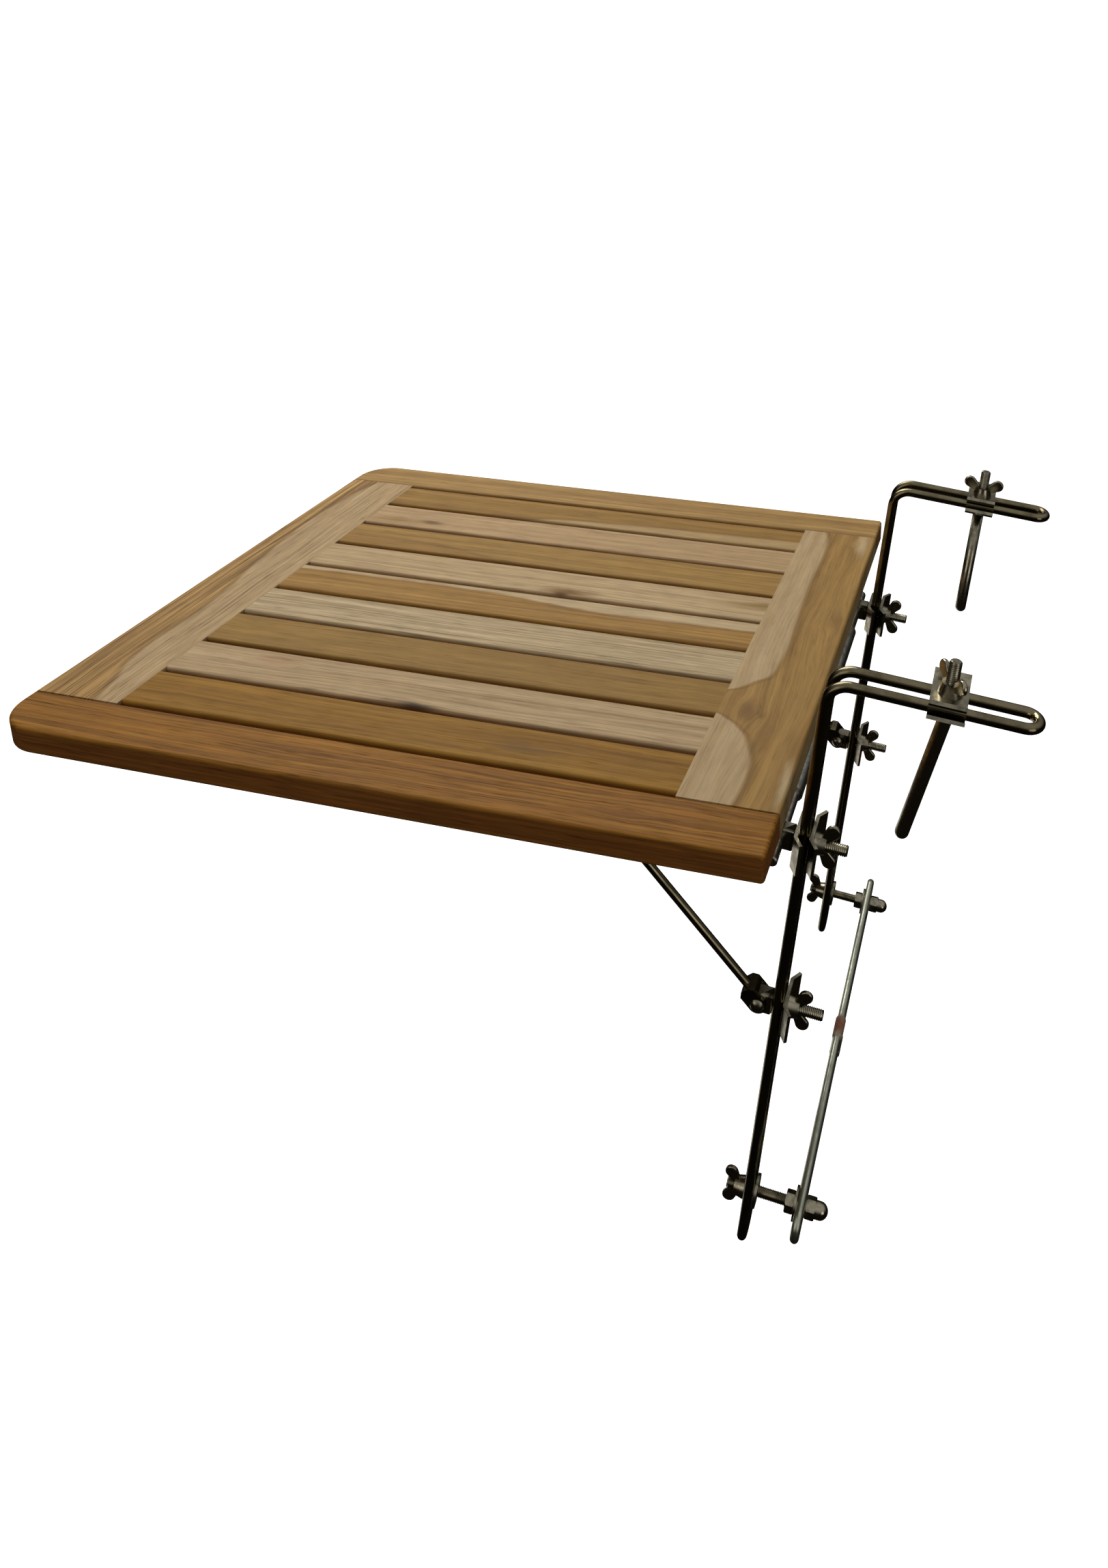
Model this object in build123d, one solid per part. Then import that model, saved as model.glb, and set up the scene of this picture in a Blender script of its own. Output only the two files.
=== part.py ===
from build123d import *
import os
from math import atan2, cos, degrees, hypot, radians, sin

# A balcony table that hangs on a railing. The railing runs along Y, X points from the table over the
# railing and Z points up. The origin lies on top of the railing, in the plane of the legs' railing
# side, midway between the two hangers. All lengths are in millimetres.

# Table top
table_depth = 545.0
table_width = 500.0
board_thickness = 20.0
rail_width = 42.0
stile_width = 67.5
slat_count = 9
slat_gap = 4.0
outer_corner_radius = 30.0
railing_corner_radius = 3.0
arris_radius = 2.5
tenon_length = 14.0
tenon_thickness = 7.0
tenon_shoulder = 6.0
joint_clearance = 0.2
near_overhang = 58.0
table_droop = 6.0

# Battens under the top
batten_width = 40.0
batten_thickness = 12.0
batten_arris = 1.5
outer_batten_inset = 110.0
batten_end_gap = 24.0

# Hangers: each is one closed loop of round rod, bent over the railing
hanger_spacing = 310.0
rod_diameter = 7.0
rod_spacing = 17.6
hanger_bend_radius = 14.0
arm_reach = 128.0
leg_length = 467.0

# Heights of the clamps below the middle line of the arms, and the pins' place along the arms
hinge_drop = 121.5
strut_clamp_drop = 254.0
spreader_drop = 423.5
pin_reach = 71.0

# Threads and fits
thread_diameter = 8.0
thread_chamfer = 1.0
nut_clearance = 0.08
hole_clearance = 0.5
slide_clearance = 0.3
turning_clearance = 0.1
running_clearance = 0.06
cut_overrun = 2.0

# Pressed saddle plates that ride on the two rods of a hanger
saddle_length = 22.5
saddle_thickness = 2.3
saddle_flange = 8.9
saddle_flange_angle = 33.0
saddle_bend_radius = 1.6

# Eye bolts
eye_radius = 7.0
eye_reach = 10.0
eye_thickness = 9.5
eye_edge = 1.2
eye_bolt_length = 44.0

# Hinge
hinge_rod_diameter = 8.0
hinge_rod_overhang = 27.0
hinge_rod_edge = 0.8
hinge_inset = 2.9
hinge_gap = 0.6
leaf_thickness = 2.0
leaf_width = 36.0
leaf_inset = 42.0
leaf_mouth = 3.0
leaf_screw_count = 4

# Struts
strut_diameter = 6.2
strut_eye_radius = 6.0
strut_eye_thickness = 8.0
strut_pin_diameter = 6.0
fork_radius = 6.2
fork_thickness = 2.4
fork_length = 13.5
fork_bridge = 8.2
fork_shoulder = 3.2
fork_play = 0.4
fork_pin_diameter = 8.0
pin_head_radius = 5.0
pin_head_height = 2.6
pin_washer_thickness = 1.4

# Brackets under the top that take the struts' upper pins
bracket_inset = 113.4
bracket_drop = 10.0
bracket_thickness = 2.5
bracket_flange = 15.0
bracket_slot_play = 0.9
bracket_slot_inward = 1.5
bracket_slot_outward = 13.5
bracket_ear_margin = 5.0
bracket_play = 0.6

# Wood screws
screw_head_radius = 4.2
screw_head_height = 2.2
screw_radius = 2.0
screw_grip = 12.0
screw_slot_width = 1.0
screw_slot_depth = 0.9
screw_clearance = 0.1

# Leg pins
pin_diameter = 9.0
pin_leg = 102.0
pin_thread_top = 28.0
near_pin_lean = 8.5
far_pin_lean = 0.0
pin_bend_drop = 5.0
near_arm_nut_turn = -58.5
far_arm_nut_turn = 0.0

# Wing nuts
wing_hub_radius = 7.6
wing_hub_top_radius = 6.0
wing_hub_height = 7.5
wing_span = 32.0
wing_height = 15.6
wing_thickness = 3.2
wing_blade_width = 9.5
wing_edge = 1.2

# Hexagon nuts, cap nuts and washers
hex_across_flats = 13.0
hex_nut_height = 6.5
cap_hex_height = 7.0
cap_height = 16.0
cap_dome_radius = 5.9
hex_chamfer = 0.7
washer_radius = 8.0
washer_thickness = 1.6
leg_washer_radius = 11.0
leg_washer_thickness = 2.0

# Spreader
spreader_diameter = 6.5
spreader_spacing = 17.6
spreader_offset = 37.5
spreader_overhang = 26.0
spreader_bolt_back = 17.0
weld_length = 20.0
weld_radius = 4.3
weld_start = -15.0

rod_radius = rod_diameter / 2
rod_half_spacing = rod_spacing / 2
thread_radius = thread_diameter / 2
pin_radius = pin_diameter / 2
pin_dome_radius = (pin_head_radius**2 + pin_head_height**2) / pin_head_height / 2
bore_radius = thread_radius + nut_clearance
near_y = -hanger_spacing / 2
far_y = hanger_spacing / 2
arm_z = rod_radius
leg_x = -rod_radius
front_y = near_y - near_overhang
back_y = front_y + table_width
slat_width = (table_width - rail_width * 2 - slat_gap * (slat_count + 1)) / slat_count
saddle_seat = rod_radius + slide_clearance
saddle_face = saddle_seat + saddle_thickness

# The hinge axis, and the axis through the eyes of the strut clamps
hinge_x = leg_x - saddle_face - eye_reach
hinge_z = arm_z - hinge_drop
strut_low_x = leg_x - saddle_seat - eye_reach
strut_low_z = arm_z - strut_clamp_drop
# The same hinge axis, in the level table's own frame: X from the railing side, Z from the top face
own_hinge_x = -hinge_inset
own_hinge_z = -board_thickness - hinge_gap - eye_radius
own_bracket_x = -bracket_inset
own_bracket_z = -board_thickness - batten_thickness - bracket_drop

table_place = Pos(hinge_x, 0, hinge_z) * Rot(0, -table_droop, 0) * Pos(-own_hinge_x, 0, -own_hinge_z)
parts = {}


def box(x0, x1, y0, y1, z0, z1):
    return Pos(x0, y0, z0) * Box(x1 - x0, y1 - y0, z1 - z0, align=(Align.MIN, Align.MIN, Align.MIN))


def round_x(radius, x0, x1, y=0.0, z=0.0):
    bar = Cylinder(radius, x1 - x0, align=(Align.CENTER, Align.CENTER, Align.MIN))
    return Pos(x0, y, z) * Rot(0, 90, 0) * bar


def round_y(radius, y0, y1, x=0.0, z=0.0):
    bar = Cylinder(radius, y1 - y0, align=(Align.CENTER, Align.CENTER, Align.MIN))
    return Pos(x, y0, z) * Rot(-90, 0, 0) * bar


def round_z(radius, z0, z1, x=0.0, y=0.0):
    bar = Cylinder(radius, z1 - z0, align=(Align.CENTER, Align.CENTER, Align.MIN))
    return Pos(x, y, z0) * bar


def swept_rod(edges, radius):
    path = Wire(edges)
    start = Plane(origin=path @ 0, z_dir=path % 0)
    return sweep(start * Circle(radius), path=path)


def quarter_arc(center, first, second, radius):
    # A quarter turn about a centre, from the direction first to the direction second
    middle = (first + second).normalized()
    return ThreePointArc(center + first * radius, center + middle * radius, center + second * radius)


def eased(board, direction, radius):
    # Rounds the long edges of a board
    return fillet(board.edges().filter_by(direction), radius)


def in_table(shape):
    return table_place * shape


def tenon(x0, x1, y0, y1, extra):
    z_middle = -board_thickness / 2
    half = tenon_thickness / 2 + extra
    inset = tenon_shoulder - extra
    return box(x0, x1, y0 + inset, y1 - inset, z_middle - half, z_middle + half)


def slat_edges(index):
    y0 = front_y + rail_width + slat_gap + index * (slat_width + slat_gap)
    return y0, y0 + slat_width


def make_rails():
    # The two rails run the full depth and carry the stiles between them
    for name, y0, outer in (("front_rail", front_y, -1), ("back_rail", back_y - rail_width, 1)):
        rail = box(-table_depth, 0, y0, y0 + rail_width, -board_thickness, 0)
        corners = rail.edges().filter_by(Axis.Z)
        outer_side = corners.group_by(Axis.Y)[-1 if outer > 0 else 0].sort_by(Axis.X)
        rail = fillet(outer_side[0], outer_corner_radius)
        corners = rail.edges().filter_by(Axis.Z).group_by(Axis.Y)[-1 if outer > 0 else 0].sort_by(Axis.X)
        rail = fillet(corners[-1], railing_corner_radius)
        top = rail.faces().sort_by(Axis.Z)[-1]
        bottom = rail.faces().sort_by(Axis.Z)[0]
        rail = fillet(top.edges() + bottom.edges(), arris_radius)
        for x0, x1 in stile_spans():
            y_joint = y0 + rail_width if outer < 0 else y0
            reach = tenon_length + joint_clearance
            ends = sorted((y_joint + reach * outer, y_joint - cut_overrun * outer))
            rail -= rail_tenon(x0, x1, ends, joint_clearance)
        parts[name] = in_table(rail)


def stile_spans():
    return (-table_depth, -table_depth + stile_width), (-stile_width, 0.0)


def rail_tenon(x0, x1, ends, extra):
    z_middle = -board_thickness / 2
    half = tenon_thickness / 2 + extra
    inset = tenon_shoulder * 2 - extra
    return box(x0 + inset, x1 - inset, ends[0], ends[1], z_middle - half, z_middle + half)


def make_stiles():
    for name, (x0, x1), inner in zip(("left_stile", "right_stile"), stile_spans(), (1, -1)):
        y0, y1 = front_y + rail_width, back_y - rail_width
        stile = box(x0, x1, y0, y1, -board_thickness, 0)
        outer_x = stile.edges().filter_by(Axis.Y).group_by(Axis.X)[0 if inner > 0 else -1]
        stile = fillet(outer_x, arris_radius)
        x_joint = x1 if inner > 0 else x0
        reach = (tenon_length + joint_clearance) * inner
        for index in range(slat_count):
            s0, s1 = slat_edges(index)
            pocket = sorted((x_joint - reach, x_joint + cut_overrun * inner))
            stile -= tenon(pocket[0], pocket[1], s0, s1, joint_clearance)
        stile += rail_tenon(x0, x1, (y0 - tenon_length, y0 + cut_overrun), 0)
        stile += rail_tenon(x0, x1, (y1 - cut_overrun, y1 + tenon_length), 0)
        parts[name] = in_table(stile)


def make_slats():
    x0, x1 = -table_depth + stile_width, -stile_width
    for index in range(slat_count):
        y0, y1 = slat_edges(index)
        slat = eased(box(x0, x1, y0, y1, -board_thickness, 0), Axis.X, arris_radius)
        slat += tenon(x0 - tenon_length, x0 + cut_overrun, y0, y1, 0)
        slat += tenon(x1 - cut_overrun, x1 + tenon_length, y0, y1, 0)
        parts[f"slat_{index + 1}"] = in_table(slat)


def batten_places():
    # The inner batten is centred over the slots of the brackets
    slot_middle = own_bracket_x + (bracket_slot_inward - bracket_slot_outward) / 2
    return slot_middle, -table_depth + outer_batten_inset


def wood_screw(x, y, z):
    # A countersunk screw that points up: its head lies flush with the underside at height z
    head = Pos(x, y, z) * Cone(screw_head_radius, screw_radius, screw_head_height,
                               align=(Align.CENTER, Align.CENTER, Align.MIN))
    slot_z = z + screw_slot_depth
    slot = box(x - screw_head_radius, x + screw_head_radius, y - screw_slot_width / 2,
               y + screw_slot_width / 2, z - cut_overrun, slot_z)
    return head + round_z(screw_radius, z, z + screw_grip, x, y) - slot


def screw_hole(x, y, z):
    wide, narrow = screw_head_radius + screw_clearance, screw_radius + screw_clearance
    cone = Pos(x, y, z) * Cone(wide, narrow, screw_head_height + screw_clearance,
                               align=(Align.CENTER, Align.CENTER, Align.MIN))
    return cone + round_z(narrow, z, z + screw_grip + screw_clearance, x, y)


def drill(names, places):
    # Opens holes for the screws in the pieces that they pass through
    for name in names:
        for x, y, z in places:
            parts[name] -= in_table(screw_hole(x, y, z))


def bracket_half_width():
    return strut_eye_thickness / 2 + bracket_play + bracket_thickness + bracket_flange


def make_battens():
    y0, y1 = front_y + batten_end_gap, back_y - batten_end_gap
    places = []
    for name, x in zip(("inner_batten", "outer_batten"), batten_places()):
        z0, z1 = -board_thickness - batten_thickness, -board_thickness
        bar = box(x - batten_width / 2, x + batten_width / 2, y0, y1, z0, z1)
        bar = fillet(bar.faces().sort_by(Axis.Z)[0].edges(), batten_arris)
        parts[name] = in_table(bar)
        mid_ys = [sum(slat_edges(index)) / 2 for index in range(slat_count)]
        if name == "inner_batten":
            clear = bracket_half_width() + screw_head_radius
            mid_ys = [y for y in mid_ys if min(abs(y - near_y), abs(y - far_y)) > clear]
        rail_inset = (batten_end_gap + rail_width) / 2
        places += [(x, y, z0) for y in [front_y + rail_inset] + mid_ys + [back_y - rail_inset]]
    drill([name for name in parts], places)
    parts["batten_screws"] = in_table(Compound([wood_screw(*place) for place in places]))


def make_hinge_leaf():
    # A strip screwed under the railing side of the top, whose edge curls round the hinge rod
    axle_radius = hinge_rod_diameter / 2
    outer = axle_radius + leaf_thickness
    y0, y1 = near_y + leaf_inset, far_y - leaf_inset
    underside = -board_thickness
    curl = round_y(outer, y0, y1, own_hinge_x, own_hinge_z)
    neck_x0 = own_hinge_x - outer
    plate = box(own_hinge_x - leaf_width, own_hinge_x, y0, y1, underside - leaf_thickness, underside)
    neck = box(neck_x0, neck_x0 + leaf_thickness, y0, y1, own_hinge_z, underside)
    leaf = plate + neck + curl
    leaf -= round_y(axle_radius, y0 - cut_overrun, y1 + cut_overrun, own_hinge_x, own_hinge_z)
    mouth_z = own_hinge_z + outer
    leaf -= box(neck_x0 + leaf_thickness, own_hinge_x, y0 - cut_overrun, y1 + cut_overrun,
                mouth_z - leaf_thickness - leaf_mouth / 2, underside - leaf_thickness)
    span = (y1 - y0) / leaf_screw_count
    x = own_hinge_x - leaf_width + screw_head_radius * 2
    ys = [y0 + span * (index + 0.5) for index in range(leaf_screw_count)]
    places = [(x, y, underside - leaf_thickness) for y in ys]
    parts["hinge_leaf"] = in_table(leaf)
    drill(["hinge_leaf", "right_stile"], places)
    parts["hinge_leaf_screws"] = in_table(Compound([wood_screw(*place) for place in places]))
    end = far_y + hinge_rod_overhang
    axle = round_y(axle_radius, -end, end, hinge_x, hinge_z)
    parts["hinge_rod"] = chamfer(axle.edges().filter_by(GeomType.CIRCLE), hinge_rod_edge)


def make_brackets():
    # A channel under the inner batten: its two ears hold the strut's upper pin in slots
    half_gap = strut_eye_thickness / 2 + bracket_play
    seat = -board_thickness - batten_thickness
    slot_radius = strut_pin_diameter / 2 + bracket_slot_play
    ear_bottom = own_bracket_z - slot_radius - bracket_ear_margin
    x_low = own_bracket_x - bracket_slot_outward - slot_radius - bracket_ear_margin
    x_high = own_bracket_x + bracket_slot_inward + slot_radius + bracket_ear_margin
    places = []
    for name, y in (("near_bracket", near_y), ("far_bracket", far_y)):
        half_width = bracket_half_width()
        bracket = box(x_low, x_high, y - half_width, y + half_width, seat - bracket_thickness, seat)
        for side in (-1, 1):
            ys = sorted((y + side * half_gap, y + side * (half_gap + bracket_thickness)))
            ear = box(x_low, x_high, ys[0], ys[1], ear_bottom, seat)
            low = ear.edges().filter_by(Axis.Y).group_by(Axis.Z)[0]
            bracket += fillet(low, bracket_ear_margin)
        y0, y1 = y - half_width - cut_overrun, y + half_width + cut_overrun
        start, end = own_bracket_x - bracket_slot_outward, own_bracket_x + bracket_slot_inward
        bracket -= box(start, end, y0, y1, own_bracket_z - slot_radius, own_bracket_z + slot_radius)
        bracket -= round_y(slot_radius, y0, y1, start, own_bracket_z)
        bracket -= round_y(slot_radius, y0, y1, end, own_bracket_z)
        parts[name] = in_table(bracket)
        screw_y = half_gap + bracket_thickness + bracket_flange / 2
        screw_xs = (x_low + screw_head_radius * 2, x_high - screw_head_radius * 2)
        screw_z = seat - bracket_thickness
        places += [(x, y + side * screw_y, screw_z) for side in (-1, 1) for x in screw_xs]
    drill([name for name in parts if name != "hinge_rod"], places)
    parts["bracket_screws"] = in_table(Compound([wood_screw(*place) for place in places]))


def make_hanger(y):
    # Half of the closed loop, from the middle of the arm's tip to the middle of the leg's foot
    s = rod_half_spacing
    tip_x = leg_x + arm_reach - rod_radius - s
    foot_z = arm_z - leg_length + rod_radius + s
    bend_x, bend_z = leg_x + hanger_bend_radius, arm_z - hanger_bend_radius
    right, up, away = Vector(1, 0, 0), Vector(0, 0, 1), Vector(0, 1, 0)
    edges = [
        quarter_arc(Vector(tip_x, 0, arm_z), right, away, s),
        Line((tip_x, s, arm_z), (bend_x, s, arm_z)),
        quarter_arc(Vector(bend_x, s, bend_z), up, -right, hanger_bend_radius),
        Line((leg_x, s, bend_z), (leg_x, s, foot_z)),
        quarter_arc(Vector(leg_x, 0, foot_z), away, -up, s),
    ]
    half = swept_rod(edges, rod_radius)
    return Pos(0, y, 0) * (half + mirror(half, about=Plane.XZ))


def saddle_plate(hugs):
    # A pressed plate in its own frame: rods run along Z, the bolt along X, and X is zero at the face
    # that looks at the rods. Its flared flanges lean away from the rods, or round them if it hugs.
    half = rod_half_spacing + rod_radius
    angle = radians(saddle_flange_angle)
    tip = (half + saddle_flange * cos(angle), saddle_flange * sin(angle))
    corners = [(tip[1], -tip[0]), (0, -half), (0, half), (tip[1], tip[0])]
    line = FilletPolyline(*corners, radius=saddle_bend_radius)
    side = Side.LEFT if hugs else Side.RIGHT
    strip = make_face(offset(line, amount=saddle_thickness, side=side).edges())
    plate = Pos(0, 0, -saddle_length / 2) * extrude(strip, amount=saddle_length, dir=(0, 0, 1))
    reach = saddle_thickness + cut_overrun
    return plate - round_x(thread_radius + hole_clearance, -reach, reach)


def eye_bolt():
    # The eye's axis lies along Y at the origin and the thread points along X
    body = round_y(eye_radius, -eye_thickness / 2, eye_thickness / 2)
    body += box(0, eye_reach, -eye_thickness / 2, eye_thickness / 2, -eye_radius, eye_radius)
    body = chamfer(body.faces().sort_by(Axis.X)[-1].edges(), eye_edge)
    shank = round_x(thread_radius, eye_reach - cut_overrun, eye_bolt_length)
    shank = chamfer(shank.faces().sort_by(Axis.X)[-1].edges(), thread_chamfer)
    bore = round_y(hinge_rod_diameter / 2 + running_clearance, -eye_thickness, eye_thickness)
    return body + shank - bore


def wing_nut():
    # Its seat lies in the plane X = 0, its axis along X and its wings in the XZ plane
    hub = Rot(0, 90, 0) * Cone(wing_hub_radius, wing_hub_top_radius, wing_hub_height,
                               align=(Align.CENTER, Align.CENTER, Align.MIN))
    blade_radius = wing_blade_width / 2
    blade = Pos(wing_height - blade_radius, wing_span / 2 - blade_radius) * Circle(blade_radius)
    root = Line((wing_edge, 0), (wing_hub_height - wing_edge, 0))
    outline = make_hull(blade.edges() + [root])
    sheet = Plane(origin=(0, wing_thickness / 2, 0), x_dir=(1, 0, 0), z_dir=(0, -1, 0)) * outline
    wing = extrude(sheet, amount=wing_thickness)
    sides = wing.faces().group_by(Axis.Y)
    wing = fillet(sides[0].edges() + sides[-1].edges(), wing_edge)
    nut = hub + wing + Rot(180, 0, 0) * wing
    return nut - round_x(bore_radius, -cut_overrun, wing_height)


def hex_prism(height):
    # Along X from the plane X = 0, with its corners broken
    outer = hex_across_flats / 2 / cos(radians(30))
    profile = RegularPolygon(hex_across_flats / 2, 6, major_radius=False)
    prism = Rot(0, 90, 0) * extrude(profile, amount=height)
    turned = Rot(0, 90, 0) * Cylinder(outer, height, align=(Align.CENTER, Align.CENTER, Align.MIN))
    turned = chamfer(turned.edges().filter_by(GeomType.CIRCLE), hex_chamfer)
    return prism & turned


def hex_nut():
    return hex_prism(hex_nut_height) - round_x(bore_radius, -cut_overrun, hex_nut_height + cut_overrun)


def cap_nut():
    dome_start = cap_height - cap_dome_radius
    body = hex_prism(cap_hex_height) + round_x(cap_dome_radius, cap_hex_height / 2, dome_start)
    dome = Pos(dome_start, 0, 0) * Sphere(cap_dome_radius)
    body += dome
    return body - round_x(bore_radius, -cut_overrun, dome_start)


def ring_x(outer, inner, x0, x1, y=0.0, z=0.0):
    return round_x(outer, x0, x1, y, z) - round_x(inner, x0 - cut_overrun, x1 + cut_overrun, y, z)


def make_upper_clamps():
    # The hinge eyes' clamps: a hugging saddle on the table side, a plain one under the wing nut
    for side, y in (("near", near_y), ("far", far_y)):
        bolt = Pos(hinge_x, y, hinge_z)
        outer = Pos(leg_x + saddle_seat, y, hinge_z) * saddle_plate(False)
        inner = Pos(leg_x - saddle_seat, y, hinge_z) * saddle_plate(True)
        parts[f"{side}_hinge_eye_bolt"] = bolt * eye_bolt()
        parts[f"{side}_hinge_outer_saddle"] = outer
        parts[f"{side}_hinge_inner_saddle"] = inner
        nut_x = leg_x + saddle_face + turning_clearance
        parts[f"{side}_hinge_wing_nut"] = Pos(nut_x, y, hinge_z) * wing_nut()


def make_strut_clamps():
    for side, y in (("near", near_y), ("far", far_y)):
        parts[f"{side}_strut_eye_bolt"] = Pos(strut_low_x, y, strut_low_z) * eye_bolt()
        parts[f"{side}_strut_saddle"] = Pos(leg_x + saddle_seat, y, strut_low_z) * saddle_plate(False)
        nut_x = leg_x + saddle_face + turning_clearance
        parts[f"{side}_strut_wing_nut"] = Pos(nut_x, y, strut_low_z) * wing_nut()


def strut_line():
    # From the lower eye to the upper pin, in the drooping pose
    top = table_place * Pos(own_bracket_x, 0, own_bracket_z)
    run_x, run_z = top.position.X - strut_low_x, top.position.Z - strut_low_z
    return hypot(run_x, run_z), degrees(atan2(run_x, run_z))


def make_struts():
    length, lean = strut_line()
    inner = eye_thickness / 2 + fork_play
    outer = inner + fork_thickness
    hole = round_y(fork_pin_diameter / 2, -outer - cut_overrun, outer + cut_overrun)
    for side, y in (("near", near_y), ("far", far_y)):
        place = Pos(strut_low_x, y, strut_low_z) * Rot(0, lean, 0)
        fork = round_y(fork_radius, -outer, outer)
        block = box(-fork_radius, fork_radius, -outer, outer, 0, fork_length)
        fork += chamfer(block.edges().filter_by(Axis.Y).group_by(Axis.Z)[-1], fork_shoulder)
        fork -= box(-fork_radius * 2, fork_radius * 2, -inner, inner, -fork_radius * 2, fork_bridge)
        rod = round_z(strut_diameter / 2, fork_bridge, length)
        eye = round_y(strut_eye_radius, -strut_eye_thickness / 2, strut_eye_thickness / 2, 0, length)
        eye_hole = round_y(strut_pin_diameter / 2, -strut_eye_thickness, strut_eye_thickness, 0, length)
        parts[f"{side}_strut"] = place * (fork + rod + eye - eye_hole - hole)
        pin = round_y(fork_pin_diameter / 2, -outer, outer + pin_washer_thickness)
        dome = Pos(0, pin_dome_radius - pin_head_height, 0) * Sphere(pin_dome_radius)
        dome &= round_y(pin_head_radius, -pin_head_height, 0)
        head = Pos(0, -outer, 0) * dome
        clip = round_y(pin_head_radius, outer, outer + pin_washer_thickness)
        parts[f"{side}_fork_pin"] = place * (pin + head + clip)
        half_gap = strut_eye_thickness / 2 + bracket_play + bracket_thickness
        reach = half_gap + bracket_play
        top_pin = round_y(strut_pin_diameter / 2, -reach, reach, 0, length)
        for end in (-1, 1):
            ys = sorted((end * reach, end * (reach + pin_washer_thickness)))
            top_pin += round_y(bracket_slot_play * 2 + strut_pin_diameter / 2, ys[0], ys[1], 0, length)
        parts[f"{side}_strut_top_pin"] = place * top_pin


def make_arm_clamps():
    # On each arm a leg pin stands between a plate under the rods and a saddle on top of them
    x = leg_x + pin_reach
    near = ("near", near_y, near_pin_lean, near_arm_nut_turn)
    far = ("far", far_y, far_pin_lean, far_arm_nut_turn)
    for side, y, lean, turn in (near, far):
        upright = Pos(x, y, arm_z) * Rot(0, -90, 0)
        parts[f"{side}_arm_saddle"] = upright * (Pos(saddle_seat, 0, 0) * saddle_plate(False))
        parts[f"{side}_arm_plate"] = upright * (Pos(-saddle_seat, 0, 0) * saddle_plate(True))
        shoulder = arm_z - saddle_face
        bend = shoulder - pin_bend_drop
        end = arm_z - pin_leg + pin_radius - bend
        straight = round_z(pin_radius, end, 0) + Pos(0, 0, end) * Sphere(pin_radius) + Sphere(pin_radius)
        leg = round_z(pin_radius, bend, shoulder, x, y) + Pos(x, y, bend) * Rot(0, lean, 0) * straight
        thread = round_z(thread_radius, bend, arm_z + pin_thread_top, x, y)
        thread = chamfer(thread.faces().sort_by(Axis.Z)[-1].edges(), thread_chamfer)
        parts[f"{side}_leg_pin"] = leg + thread
        nut_place = Pos(saddle_face + turning_clearance, 0, 0) * Rot(turn, 0, 0)
        parts[f"{side}_arm_wing_nut"] = upright * (nut_place * wing_nut())


def make_spreader():
    # A closed loop of rod that joins the two legs and keeps them off the railing
    s = spreader_spacing / 2
    radius = spreader_diameter / 2
    x, z = leg_x + spreader_offset, arm_z - spreader_drop
    end_y = hanger_spacing / 2 + spreader_overhang - radius - s
    up, away = Vector(0, 0, 1), Vector(0, 1, 0)
    edges = [
        Line((x, 0, z + s), (x, end_y, z + s)),
        quarter_arc(Vector(x, end_y, z), up, away, s),
        quarter_arc(Vector(x, end_y, z), away, -up, s),
        Line((x, end_y, z - s), (x, 0, z - s)),
    ]
    half = swept_rod(edges, radius)
    loop = half + mirror(half, about=Plane.XZ)
    for weld_z in (z - s, z + s):
        weld = round_y(weld_radius, weld_start, weld_start + weld_length, x, weld_z)
        loop += chamfer(weld.edges().filter_by(GeomType.CIRCLE), weld_radius - radius)
    parts["spreader"] = loop
    face = x + radius + turning_clearance
    back = x - radius - turning_clearance
    washer_x = leg_x + saddle_seat
    sets = {"spreader_bolts": [], "spreader_cap_nuts": [], "spreader_nuts": [], "spreader_washers": [],
            "leg_washers": []}
    for y in (near_y, far_y):
        bolt_end = face + cap_height - cap_dome_radius
        bolt = round_x(thread_radius, leg_x - spreader_bolt_back, bolt_end, y, z)
        bolt = chamfer(bolt.edges().filter_by(GeomType.CIRCLE), thread_chamfer)
        front = back - washer_thickness
        washer = ring_x(washer_radius + radius, bore_radius, front, back, y, z)
        nut = Pos(front - hex_nut_height, y, z) * hex_nut()
        washer_end = washer_x + leg_washer_thickness
        hole_radius = thread_radius + hole_clearance
        sets["spreader_bolts"].append(bolt)
        sets["spreader_cap_nuts"].append(Pos(face, y, z) * cap_nut())
        sets["spreader_washers"].append(washer)
        sets["spreader_nuts"].append(nut)
        sets["leg_washers"].append(ring_x(leg_washer_radius, hole_radius, washer_x, washer_end, y, z))
    for name, solids in sets.items():
        parts[name] = Compound(solids)
    for side, y in (("near", near_y), ("far", far_y)):
        seat = Pos(leg_x - saddle_seat, y, z) * Rot(0, 0, 180)
        parts[f"{side}_spreader_wing_nut"] = seat * wing_nut()


make_rails()
make_stiles()
make_slats()
make_battens()
make_hinge_leaf()
make_brackets()
parts["near_hanger"] = make_hanger(near_y)
parts["far_hanger"] = make_hanger(far_y)
make_upper_clamps()
make_strut_clamps()
make_struts()
make_arm_clamps()
make_spreader()

os.makedirs("parts", exist_ok=True)
for name, shape in parts.items():
    export_step(shape, f"parts/{name}.step")
print(len(parts), "parts")
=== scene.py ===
import math

import bmesh
import bpy
from mathutils import Matrix, Vector


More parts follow.
